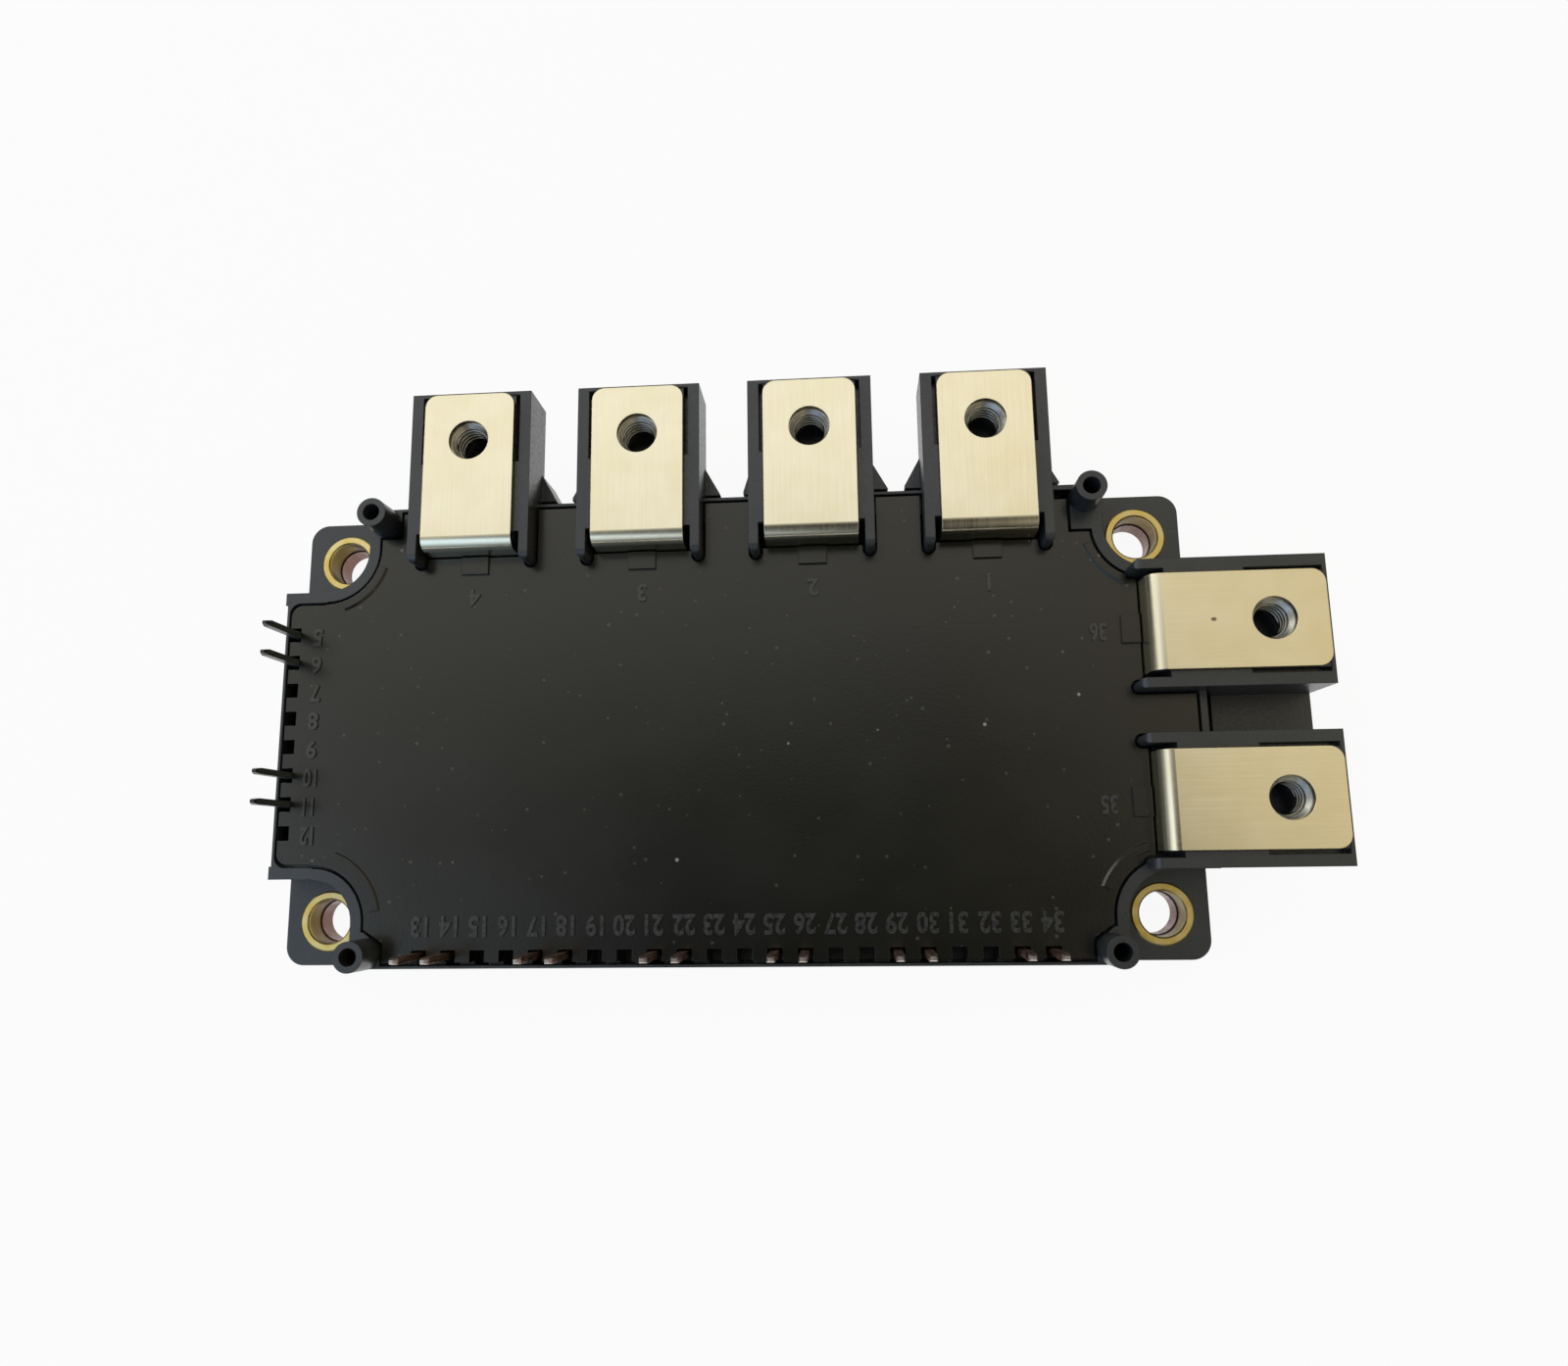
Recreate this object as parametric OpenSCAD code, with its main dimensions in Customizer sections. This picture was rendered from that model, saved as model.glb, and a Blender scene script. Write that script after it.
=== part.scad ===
// Seven-switch power semiconductor module in a base-plate package.
//
// A copper base plate carries a moulded case. Six flat screw terminals leave the case
// over cantilevered nut blocks, four on the +Y side and two on the +X side, and sixteen
// flat solder pins stand along the -Y and -X edges. Under the lid three ceramic
// substrates hold the chips, joined by bond wires and covered with soft gel.
//
// Millimetres. +Z is up. The origin is the middle of the four mounting holes, on the
// underside of the base plate. +Y is the side of the four terminals.

/* [Base plate] */

// Length of the base plate and of the case along X
base_l = 121.7; // [110:0.1:130]

// Width of the base plate and of the case along Y
base_w = 61.5; // [55:0.1:70]

// Thickness of the base plate
base_t = 3; // [2:0.1:5]

// Radius of its upright corners
base_r = 2.5; // [1:0.1:5]

// Mounting holes, distance along X
mount_x = 110; // [90:0.1:115]

// Mounting holes, distance along Y
mount_y = 50; // [40:0.1:55]

// Diameter of the mounting holes
mount_d = 5.5; // [4:0.1:7]

/* [Case] */

// Height of the ears round the mounting holes
ear_z = 6.3; // [5:0.1:8]

// Height of the rim round the lid
rim_z = 12.2; // [10:0.1:14]

// Radius of the scooped corner above each ear
scoop_r = 5.6; // [5:0.1:7]

// Inside half length of the wall below the lid
cavity_x = 57.4; // [55:0.1:59]

// Inside half width of the wall below the lid
cavity_y = 28; // [26:0.1:29]

// Radius of the corner pillars inside the case
pillar_r = 8.6; // [8:0.1:10]

// Outside diameter of a bushing
bush_d = 8; // [7:0.1:9]

// Bore of a bushing
bush_bore = 5.8; // [5.5:0.1:7]

// Height of a bushing's top
bush_z = 6.5; // [6:0.1:7]

/* [Circuit board posts] */

// Posts, half distance along X
post_x = 47.2; // [40:0.05:55]

// Posts, half distance along Y
post_y = 28.85; // [25:0.05:30]

// Height of the posts
post_z = 17.1; // [15:0.1:20]

// Diameter of a post at its top
post_d = 3.9; // [3:0.1:6]

// Diameter of the screw hole in a post
post_bore = 2.25; // [1.5:0.05:3]

/* [Lid] */

// Height of the lid's top
lid_z = 12.5; // [12:0.1:15]

// Thickness of the lid
lid_t = 2; // [1.5:0.1:3]

// Left edge of the lid
lid_x0 = -59.75; // [-60:0.05:-58]

// Right edge of the lid
lid_x1 = 59.5; // [58:0.05:60]

// Lower edge of the lid
lid_y0 = -29.95; // [-30.2:0.05:-29]

// Upper edge of the lid
lid_y1 = 29.9; // [29:0.05:30.2]

// Radius of the lid's scooped corners, about the mounting holes
lid_scoop = 7.5; // [7:0.1:9]

// Gap between the lid and the rim
lid_gap = 0.45; // [0.05:0.05:0.6]

/* [Screw terminals] */

// Distance between neighbouring terminals of the upper row
row_pitch = 22.86; // [20:0.01:25]

// Distance between the two terminals of the right side
side_pitch = 22; // [20:0.01:25]

// Outward shift of the right pair against the upper row
side_shift = 29.7; // [25:0.05:35]

// Width of a terminal
term_w = 12.2; // [10:0.1:14]

// Thickness of a terminal
term_t = 1; // [0.8:0.1:1.5]

// Height of the contact face
term_z = 17; // [15:0.1:20]

// Distance of the inner, upright face from the middle
term_in = 23.5; // [22:0.1:26]

// Distance of the outer end from the middle
term_out = 45; // [42:0.1:48]

// Distance of the screw hole from the middle
hole_y = 38.5; // [35:0.1:42]

// Diameter of the screw hole
hole_d = 5.4; // [5:0.1:6]

// Outside radius of the bend
bend_r = 1.7; // [1.2:0.1:3]

// Nut, width across flats
nut_af = 8; // [7:0.1:9]

// Nut, height
nut_h = 4; // [3:0.1:5]

// Nut, bore inside the thread
nut_bore = 4.3; // [4:0.1:5]

/* [Terminal blocks] */

// Width of a block
block_w = 16.4; // [14:0.1:18]

// Outer end of a block, from the middle
block_out = 45.5; // [44:0.1:48]

// Underside of the blocks of the upper row
block_under = 9.2; // [7:0.1:11]

// Underside of the blocks of the right pair
side_under = 6; // [4:0.1:8]

// Height of the rails beside the terminals
rail_z = 16.2; // [15.5:0.1:17]

// Width of a rail
rail_w = 2; // [1.5:0.1:3]

// Width of the finger at a rail's inner end
finger_w = 1.25; // [1:0.05:2]

// Inner end of the fingers, from the middle
finger_in = 22.1; // [20:0.1:24]

// Top of the deck between the right pair of blocks
deck_z = 8; // [6:0.1:10]

/* [Solder pins] */

// Distance between pin positions
pin_pitch = 3.81; // [2.54:0.01:5.08]

// Width of a pin along the row
pin_w = 1; // [0.6:0.05:1.5]

// Thickness of a pin
pin_t = 0.8; // [0.5:0.05:1.2]

// Height of the pin tips
pin_z = 20.8; // [18:0.1:24]

// Row of pins along the -Y edge, distance from the middle
pin_y = 29.1; // [28:0.05:30]

// Row of pins along the -X edge, distance from the middle
pin_x = 58.8; // [57:0.05:60]

// Width of the slot in the lid at each pin position
slot_w = 1.9; // [1.4:0.1:2.5]

/* [Substrates] */

// Substrate length along X
sub_l = 30.4; // [25:0.1:35]

// Substrate width along Y
sub_w = 39; // [35:0.1:41]

// Distance between neighbouring substrates
sub_pitch = 31.6; // [30:0.1:36]

// Thickness of the ceramic
ceramic_t = 0.4; // [0.3:0.05:1]

// Thickness of each copper layer
foil_t = 0.3; // [0.2:0.05:0.5]

// Height of the gel
gel_z = 8.5; // [7:0.1:10]

/* [Hidden] */

$fn = 96;
eps = 0.05;
far = 40;

ear_x = mount_x / 2;
ear_y = mount_y / 2;
corners = [[1, 1], [-1, 1], [-1, -1], [1, -1]];
seat_z = lid_z - lid_t;

row_x = [1.5 * row_pitch, 0.5 * row_pitch, -0.5 * row_pitch, -1.5 * row_pitch];
side_y = [side_pitch / 2, -side_pitch / 2];
wall_row = base_w / 2;
wall_side = base_l / 2 - side_shift;
floor_z = term_z - term_t;
leg_back = term_in + term_t;
bend_in = bend_r - term_t;
shelf_z = 4.4;
foot_in = 20.5;
notch_y = 25.8;
nut_floor = floor_z - nut_h;

first_x = -10.5 * pin_pitch;
first_y = 3.5 * pin_pitch;
pins_low = [13, 14, 17, 18, 21, 22, 25, 26, 29, 30, 33, 34];
pins_left = [5, 6, 10, 11];
pin_floor = 7;
slot_in_y = -28.45;
slot_in_x = -58.25;
pin_foot = 22.4;
pin_side_foot = 51;

foil_z = base_t;
ceramic_z = foil_z + foil_t;
track_z = ceramic_z + ceramic_t;
chip_z = track_z + foil_t;
chip_t = 0.2;
chip_top = chip_z + chip_t;
wire = 0.3;

igbt_at = [-6.6, 8];
diode_at = [2.2, 6.5];
brake_x = 10.2 - sub_pitch;
high_y = 11;
low_y = -5;
strip_y = -14.3;
pad_y = -17.5;

//
// Shared shapes
//

// Puts a shape drawn for the upper row at terminal i of that row
module at_row(i) {
    translate([row_x[i], 0, 0])
        children();
}

// Puts the same shape at terminal i of the right pair
module at_side(i) {
    translate([side_shift, side_y[i], 0])
        rotate([0, 0, -90])
            children();
}

// Puts a shape at all six terminals
module at_terminals() {
    for (i = [0 : 3])
        at_row(i) children();
    for (i = [0 : 1])
        at_side(i) children();
}

// Extrudes a profile drawn in Y and Z across the width w
module across(w) {
    translate([-w / 2, 0, 0])
        rotate([90, 0, 90])
            linear_extrude(w)
                children();
}

// Rectangle with rounded corners
module round_rect(l, w, r) {
    square([l - 2 * r, w], center = true);
    square([l, w - 2 * r], center = true);
    for (c = corners)
        translate([c[0] * (l / 2 - r), c[1] * (w / 2 - r)])
            circle(r);
}

// One corner cleared round a mounting hole, open to the outside
module corner_clear(r, y_in) {
    circle(r);
    translate([-r, 0])
        square([far, far]);
    translate([0, -y_in])
        square([far, far]);
}

// The four cleared corners
module corners_clear(r, y_in) {
    for (c = corners)
        scale([c[0], c[1]])
            translate([ear_x, ear_y])
                corner_clear(r, y_in);
}

// Outline of the lid; grow widens it for the seat in the case
module lid_plan(grow) {
    r = 1.5;
    step_y = 17.4 + grow;
    edge_x = lid_x0 - grow;
    difference() {
        translate([edge_x, lid_y0 - grow])
            square([lid_x1 - lid_x0 + 2 * grow, lid_y1 - lid_y0 + 2 * grow]);
        corners_clear(lid_scoop - grow, 7.6 - grow);
        translate([-44.6 - grow - far, 26.4 + grow])
            square([far, far]);
        translate([44.9 + grow, 24.2 + grow])
            square([far, far]);
        translate([43.3, 28.7])
            square([far, far]);
        for (s = [-1, 1])
            scale([s, 1])
                polygon([
                    [44.6 + grow, -far],
                    [44.9 + grow, -27.5 - grow],
                    [47.6, -25.7 - grow],
                    [far + 20, -25.7 - grow],
                    [far + 20, -far]
                ]);
        for (s = [-1, 1])
            translate([edge_x, s * (step_y - r / 2)])
                square([2 * r, r], center = true);
    }
    for (s = [-1, 1])
        translate([edge_x + r, s * (step_y - r)])
            circle(r);
}

// Opening in the lid round one terminal block
module block_notch() {
    x = (block_w - finger_w) / 2;
    r = finger_w / 2 + 0.3;
    for (s = [-1, 1])
        translate([s * x, finger_in + finger_w / 2]) {
            circle(r, $fn = 32);
            translate([-r, 0])
                square([2 * r, far]);
        }
    translate([-x, term_in - 0.15])
        square([2 * x, far]);
}

// A rectangle at each pin position of the lower edge, from y0 to y1
module low_positions(w, y0, y1) {
    for (k = [0 : 21])
        translate([first_x + k * pin_pitch - w / 2, y0])
            square([w, y1 - y0]);
}

// A rectangle at each pin position of the left edge, from x0 to x1
module left_positions(w, x0, x1) {
    for (k = [0 : 7])
        translate([x0, first_y - k * pin_pitch - w / 2])
            square([x1 - x0, w]);
}

// Space inside the case walls, below the lid
module cavity_plan() {
    difference() {
        square([2 * cavity_x, 2 * cavity_y], center = true);
        for (c = corners)
            translate([c[0] * ear_x, c[1] * ear_y])
                circle(pillar_r);
        for (c = corners)
            scale([c[0], c[1]])
                translate([43.8, 25.8])
                    square([far, far]);
    }
    for (y = side_y)
        translate([side_shift + foot_in, y - term_w / 2 - 0.1])
            square([leg_back - foot_in, term_w + 0.2]);
}

//
// Base plate and case
//

module base_plate() {
    color("Peru")
        difference() {
            linear_extrude(base_t)
                round_rect(base_l, base_w, base_r);
            for (c = corners)
                translate([c[0] * ear_x, c[1] * ear_y, -1])
                    cylinder(h = base_t + 2, d = mount_d);
        }
}

// Profile of a block: tower inside the case, cantilever outside it
module block_profile(wall_y, under) {
    polygon([
        [leg_back, base_t],
        [leg_back, floor_z - 1],
        [leg_back + 1, floor_z],
        [block_out, floor_z],
        [block_out, under],
        [wall_y, under],
        [wall_y, base_t]
    ]);
}

// One terminal block, drawn for the upper row
module block(wall_y, under) {
    half = block_w / 2;
    difference() {
        across(block_w)
            block_profile(wall_y, under);
        for (s = [-1, 1])
            translate([s * (term_w / 2 + 0.42) - 0.43, leg_back - 1, 10])
                cube([0.86, notch_y - leg_back + 1, far]);
    }
    for (s = [-1, 1])
        translate([s * (half - rail_w / 2) - rail_w / 2, notch_y, floor_z - 1])
            cube([rail_w, block_out - notch_y, rail_z - floor_z + 1]);
    translate([-half, term_out + 0.05, floor_z - 1])
        cube([block_w, block_out - term_out - 0.05, rail_z - floor_z + 1]);
    for (s = [-1, 1])
        translate([s * (half - finger_w / 2), 0, base_t])
            finger();
    translate([-half, foot_in - 0.5, base_t])
        cube([block_w, leg_back - foot_in + 0.5, shelf_z - base_t]);
}

// Slim inner end of a rail, standing in the opening of the lid, its top end rounded
module finger() {
    h = rail_z - base_t;
    r = 1;
    intersection() {
        union() {
            translate([-finger_w / 2, finger_in + finger_w / 2, 0])
                cube([finger_w, notch_y - finger_in, h]);
            translate([0, finger_in + finger_w / 2, 0])
                cylinder(h = h, d = finger_w, $fn = 32);
        }
        across(finger_w + 1) {
            translate([finger_in - 1, -1])
                square([far, h - r + 1]);
            translate([finger_in + r, -1])
                square([far, h + 1]);
            translate([finger_in + r, h - r])
                circle(r);
        }
    }
}

// Pocket for the nut, the screw's clearance and the relief beside the contact face
module block_cuts() {
    translate([0, hole_y, nut_floor])
        rotate([0, 0, 30])
            cylinder(h = nut_h + 1, d = nut_af / cos(30), $fn = 6);
    translate([0, hole_y, nut_floor - 2])
        cylinder(h = 3, d = 5.6);
    for (s = [-1, 1])
        translate([s * (term_w / 2 + 0.3) - 0.3, hole_y - 3, floor_z - 1.5])
            cube([0.6, term_out - hole_y + 3, 4]);
}

// Flared root of a block, right side at +X, with a blind groove along the wall
module flare(reach, start) {
    half = block_w / 2;
    difference() {
        translate([0, 0, base_t + 0.6])
            linear_extrude(6.6)
                polygon([
                    [half - 1, wall_row - 1],
                    [half - 1, start],
                    [half, start],
                    [half + reach, start - 3.8],
                    [half + reach, wall_row - 1]
                ]);
        translate([half, wall_row, 7.7])
            cube([reach + 1, 1.05, 4]);
    }
}

// The flares of the upper row
module flares() {
    for (i = [0 : 3])
        at_row(i) {
            flare(2.1, 35.7);
            scale([-1, 1, 1])
                flare(i == 1 ? 1.2 : 2.1, 36);
        }
}

// Ledges for the inner ends of the pins
module pin_ledges() {
    translate([-43, -cavity_y - eps, base_t])
        cube([86, cavity_y + eps - pin_foot + 1, shelf_z - base_t]);
    translate([-cavity_x - eps, -13, base_t])
        cube([cavity_x + eps - pin_side_foot + 1, 30.2, shelf_z - base_t]);
}

// A post for the circuit board, slightly tapered
module post() {
    cylinder(h = post_z - base_t, d1 = post_d + 0.4, d2 = post_d, $fn = 48);
}

// Deck between the right pair of blocks, with a shallow groove along the wall
module deck() {
    difference() {
        translate([base_l / 2 - 1, -3.5, side_under])
            cube([side_shift + block_out - base_l / 2 + 1, 7, deck_z - side_under]);
        translate([base_l / 2, -2.8, deck_z - 1])
            cube([1.8, 5.6, 2]);
    }
}

module housing() {
    color("DimGray")
        difference() {
            union() {
                difference() {
                    translate([0, 0, base_t]) {
                        linear_extrude(ear_z - base_t)
                            round_rect(base_l, base_w, base_r);
                        linear_extrude(rim_z - base_t)
                            difference() {
                                square([base_l, base_w], center = true);
                                corners_clear(scoop_r, scoop_r + 0.1);
                            }
                    }
                    translate([0, 0, base_t - 1])
                        linear_extrude(seat_z - base_t + 1)
                            cavity_plan();
                    translate([0, 0, seat_z])
                        linear_extrude(5)
                            lid_plan(lid_gap);
                    translate([0, 0, pin_floor])
                        linear_extrude(5)
                            low_positions(slot_w, lid_y0 - lid_gap, slot_in_y);
                    translate([0, 0, pin_floor])
                        linear_extrude(5)
                            left_positions(slot_w, lid_x0 - lid_gap, slot_in_x);
                    translate([43.3, 28.7, 9])
                        cube([2.5, 1.4, 10]);
                    translate([-47.2, 26.7, 9])
                        cube([2.8, 2.3, 10]);
                    translate([-base_l / 2 - 1, -17.6, ear_z])
                        cube([1.3, 35.2, 10]);
                }
                for (i = [0 : 3])
                    at_row(i) block(wall_row, block_under);
                for (i = [0 : 1])
                    at_side(i) block(wall_side, side_under);
                flares();
                deck();
                pin_ledges();
                for (c = corners)
                    translate([c[0] * post_x, c[1] * post_y, base_t])
                        post();
            }
            at_terminals() block_cuts();
            for (c = corners)
                translate([c[0] * ear_x, c[1] * ear_y, 0])
                    cylinder(h = ear_z + 1, d = bush_d);
            for (c = corners)
                translate([c[0] * post_x, c[1] * post_y, 7])
                    cylinder(h = post_z, d = post_bore, $fn = 32);
            for (k = pins_low)
                pin_space_low(k);
            for (k = pins_left)
                pin_space_left(k);
        }
}

module lid() {
    tab_w = 3.7;
    tab_in = 21;
    color("DarkSlateGray")
        union() {
            translate([0, 0, seat_z])
                linear_extrude(lid_t)
                    lid_shape();
            translate([ear_x, -ear_y, lid_z])
                ridge(108, 157, 8.4, 9.6);
            translate([-ear_x, -ear_y, lid_z])
                ridge(10, 70, 8.4, 9.8);
            translate([-ear_x, ear_y, lid_z])
                ridge(-72, -18, lid_scoop + 0.1, 8.9);
            translate([ear_x, ear_y, lid_z])
                ridge(197, 246, lid_scoop + 0.1, 8.8);
            at_terminals()
                translate([-tab_w / 2, tab_in, lid_z - 1])
                    cube([tab_w, term_in - 0.15 - tab_in, 1.4]);
        }
}

// Low ridge on the lid round a mounting hole, between two directions, outer edge sloped
module ridge(a0, a1, r_in, r_out) {
    rise = 0.25;
    intersection() {
        difference() {
            translate([0, 0, -0.1])
                cylinder(h = rise + 0.1, r1 = r_out + 0.1, r2 = r_out - rise);
            translate([0, 0, -1])
                cylinder(h = 3, r = r_in);
        }
        translate([0, 0, -1])
            linear_extrude(3)
                polygon([
                    [0, 0],
                    [20 * cos(a0), 20 * sin(a0)],
                    [20 * cos(a1), 20 * sin(a1)]
                ]);
    }
}

// Outline of the lid with all its openings
module lid_shape() {
    difference() {
        lid_plan(0);
        for (i = [0 : 3])
            translate([row_x[i], 0])
                block_notch();
        for (i = [0 : 1])
            translate([side_shift, side_y[i]])
                rotate(-90)
                    block_notch();
        low_positions(slot_w, -far, slot_in_y);
        left_positions(slot_w, -2 * far, slot_in_x);
    }
}

module bushing(c) {
    color("Gold")
        translate([c[0] * ear_x, c[1] * ear_y, base_t])
            difference() {
                union() {
                    cylinder(h = bush_z - base_t - 0.2, d = bush_d);
                    translate([0, 0, bush_z - base_t - 0.2])
                        cylinder(h = 0.2, d1 = bush_d, d2 = bush_d - 0.4);
                }
                translate([0, 0, -1])
                    cylinder(h = bush_z + 1, d = bush_bore);
                translate([0, 0, bush_z - base_t - 0.2])
                    cylinder(h = 0.21, d1 = bush_bore, d2 = bush_bore + 0.42);
            }
}

//
// Screw terminals
//

// Bent strip seen from the side
module strip_profile() {
    foot_c = term_in - bend_in;
    translate([term_in + bend_r, floor_z])
        square([term_out - term_in - bend_r, term_t]);
    intersection() {
        translate([term_in + bend_r, term_z - bend_r])
            difference() {
                circle(bend_r);
                circle(bend_in);
            }
        translate([term_in, term_z - bend_r])
            square(bend_r);
    }
    translate([term_in, shelf_z + bend_r])
        square([term_t, term_z - shelf_z - 2 * bend_r]);
    intersection() {
        translate([foot_c, shelf_z + bend_r])
            difference() {
                circle(bend_r);
                circle(bend_in);
            }
        translate([foot_c, shelf_z])
            square(bend_r);
    }
    translate([foot_in, shelf_z])
        square([foot_c - foot_in, term_t]);
}

module terminal() {
    r = 1.7;
    half = term_w / 2;
    color("Silver")
        difference() {
            across(term_w)
                strip_profile();
            translate([0, hole_y, floor_z - 1])
                cylinder(h = 3, d = hole_d);
            for (s = [-1, 1])
                translate([s * (half - r), term_out - r, floor_z - 1])
                    difference() {
                        translate([s > 0 ? 0 : -r - 1, 0, 0])
                            cube([r + 1, r + 1, 3]);
                        cylinder(h = 3, r = r);
                    }
        }
}

module nut() {
    color("LightGray")
        translate([0, hole_y, nut_floor])
            difference() {
                rotate([0, 0, 30])
                    cylinder(h = nut_h, d = nut_af / cos(30), $fn = 6);
                translate([0, 0, -1])
                    cylinder(h = nut_h + 2, d = nut_bore);
                translate([0, 0, nut_h - 0.5])
                    cylinder(h = 0.51, d1 = nut_bore, d2 = nut_bore + 1);
            }
}

//
// Solder pins
//

// Upright of a pin, centred on the origin
module pin_upright() {
    tip = 0.9;
    intersection() {
        translate([-pin_w / 2, -pin_t / 2, shelf_z])
            cube([pin_w, pin_t, pin_z - shelf_z]);
        rotate([90, 0, 0])
            translate([0, 0, -1])
                linear_extrude(2)
                    polygon([
                        [-pin_w / 2, shelf_z],
                        [pin_w / 2, shelf_z],
                        [pin_w / 2, pin_z - tip],
                        [pin_w / 4, pin_z],
                        [-pin_w / 4, pin_z],
                        [-pin_w / 2, pin_z - tip]
                    ]);
        across(2)
            polygon([
                [-pin_t / 2, shelf_z],
                [pin_t / 2, shelf_z],
                [pin_t / 2, pin_z - tip],
                [pin_t / 4, pin_z],
                [-pin_t / 4, pin_z],
                [-pin_t / 2, pin_z - tip]
            ]);
    }
}

module pin_low(k) {
    color("Silver")
        translate([first_x + (k - 13) * pin_pitch, -pin_y, 0]) {
            pin_upright();
            translate([-pin_w / 2, 0, shelf_z])
                cube([pin_w, pin_y - pin_foot, pin_t]);
        }
}

module pin_left(k) {
    color("Silver")
        translate([-pin_x, first_y - (k - 5) * pin_pitch, 0]) {
            pin_upright();
            translate([0, -pin_t / 2, shelf_z])
                cube([pin_x - pin_side_foot, pin_t, pin_t]);
        }
}

// Room for a pin's upright in the case wall
module pin_space() {
    translate([-pin_w / 2, -pin_t / 2, shelf_z])
        cube([pin_w, pin_t, pin_floor]);
}

module pin_space_low(k) {
    translate([first_x + (k - 13) * pin_pitch, -pin_y, 0]) {
        pin_space();
        translate([-pin_w / 2, 0, shelf_z])
            cube([pin_w, 3, pin_t]);
    }
}

module pin_space_left(k) {
    translate([-pin_x, first_y - (k - 5) * pin_pitch, 0]) {
        pin_space();
        translate([0, -pin_t / 2, shelf_z])
            cube([3, pin_t, pin_t]);
    }
}

//
// Substrates and chips
//

module slab(x, z, l, w, t) {
    translate([x - l / 2, -w / 2, z])
        cube([l, w, t]);
}

module foil(i) {
    color("Peru")
        slab(i * sub_pitch, foil_z, sub_l - 1.6, sub_w - 1.6, foil_t);
}

module ceramic(i) {
    color("White")
        slab(i * sub_pitch, ceramic_z, sub_l, sub_w, ceramic_t);
}

// One copper island, given by two corners
module island(x0, x1, y0, y1) {
    translate([x0, y0, track_z])
        cube([x1 - x0, y1 - y0, foil_t]);
}

module tracks(i) {
    edge = sub_l / 2 - 0.8;
    color("Peru")
        translate([i * sub_pitch, 0, 0]) {
            island(-edge, edge, 3.2, 18.7);
            if (i == -1) {
                island(-edge + 3.6, edge, -12.3, 2.4);
                island(-edge, -edge + 2.8, -7.2, 2.4);
                island(-edge, -edge + 2.8, -12.3, -8);
            } else {
                island(-edge, edge, -12.3, 2.4);
            }
            island(-edge, edge, -15.5, -13.1);
            for (x = [-edge, -7, 0.4, 7.8])
                island(x, x + 6.6, -18.7, -16.3);
        }
}

module chip(x, y, s) {
    translate([x - s / 2, y - s / 2, chip_z])
        cube([s, s, chip_t]);
}

module igbt_chips() {
    color("DarkGray") {
        for (i = [-1 : 1])
            for (y = [high_y, low_y])
                chip(i * sub_pitch + igbt_at[0], y, igbt_at[1]);
        chip(brake_x, 14.4, 6);
    }
}

module diode_chips() {
    color("Gray") {
        for (i = [-1 : 1])
            for (y = [high_y, low_y])
                chip(i * sub_pitch + diode_at[0], y, diode_at[1]);
        chip(brake_x, 7.2, 4.5);
    }
}

module thermistor() {
    color("Black")
        translate([-sub_pitch - sub_l / 2 + 1.6, -9, chip_z])
            cube([1.2, 2.8, 0.8]);
}

//
// Bond wires
//

// Wire lying in Y, from y0 at height z0 to y1 at height z1
module wire_y(x, y0, z0, y1, z1) {
    translate([x, y0, 0])
        across(wire)
            wire_profile(y1 - y0, z0, z1);
}

// The same wire lying in X
module wire_x(y, x0, z0, x1, z1) {
    translate([x0, y, 0])
        rotate([0, 0, -90])
            across(wire)
                wire_profile(x1 - x0, z0, z1);
}

module wire_profile(run, z0, z1) {
    rise = 1.4;
    land = 0.8;
    s = run < 0 ? -1 : 1;
    top = max(z0, z1) + rise;
    polygon([
        [0, z0],
        [s * land, z0],
        [run * 0.35, top - wire],
        [run * 0.65, top - wire],
        [run - s * land, z1],
        [run, z1],
        [run, z1 + wire],
        [run - s * land, z1 + wire],
        [run * 0.65, top],
        [run * 0.35, top],
        [s * land, z0 + wire],
        [0, z0 + wire]
    ]);
}

module chip_wires(x, y, reach, y_end) {
    for (dx = reach)
        wire_y(x + dx, y, chip_top, y_end, chip_z);
}

module bond_wires() {
    pin_top = shelf_z + pin_t;
    foot_top = shelf_z + term_t;
    wide = [-2.4, -0.8, 0.8, 2.4];
    slim = [-1.6, 0, 1.6];
    color("LightGray") {
        for (i = [-1 : 1])
            translate([i * sub_pitch, 0, 0]) {
                chip_wires(igbt_at[0], high_y - 1, wide, 0.8);
                chip_wires(diode_at[0], high_y, slim, 0.8);
                chip_wires(igbt_at[0], low_y - 1, wide, strip_y - 0.5);
                chip_wires(diode_at[0], low_y, slim, strip_y - 0.5);
            }
        for (dx = [-1, 1]) {
            wire_y(brake_x + dx, 14.4, chip_top, 8, chip_top);
            wire_y(brake_x + dx, 6.8, chip_top, 0.8, chip_z);
        }
        for (k = pins_low)
            wire_y(first_x + (k - 13) * pin_pitch, -pin_foot - 1.2, pin_top, pad_y, chip_z);
        for (k = pins_left)
            wire_x(first_y - (k - 5) * pin_pitch, -pin_side_foot - 1.2, pin_top,
                -sub_pitch - sub_l / 2 + 1.8, chip_z);
        for (i = [0 : 3])
            for (dx = [-2, 0, 2, 4])
                wire_y(row_x[i] - sign(row_x[i]) * dx, foot_in + 1, foot_top, 17.6, chip_z);
        for (dy = [-3, -1, 1, 3])
            wire_x(side_y[0] + dy, foot_in + side_shift + 1, foot_top, 44.9, chip_z);
        for (y = [-15, -14.3, -13.6])
            wire_x(y, foot_in + side_shift + 1, foot_top, 44.9, chip_z);
    }
}

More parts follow.
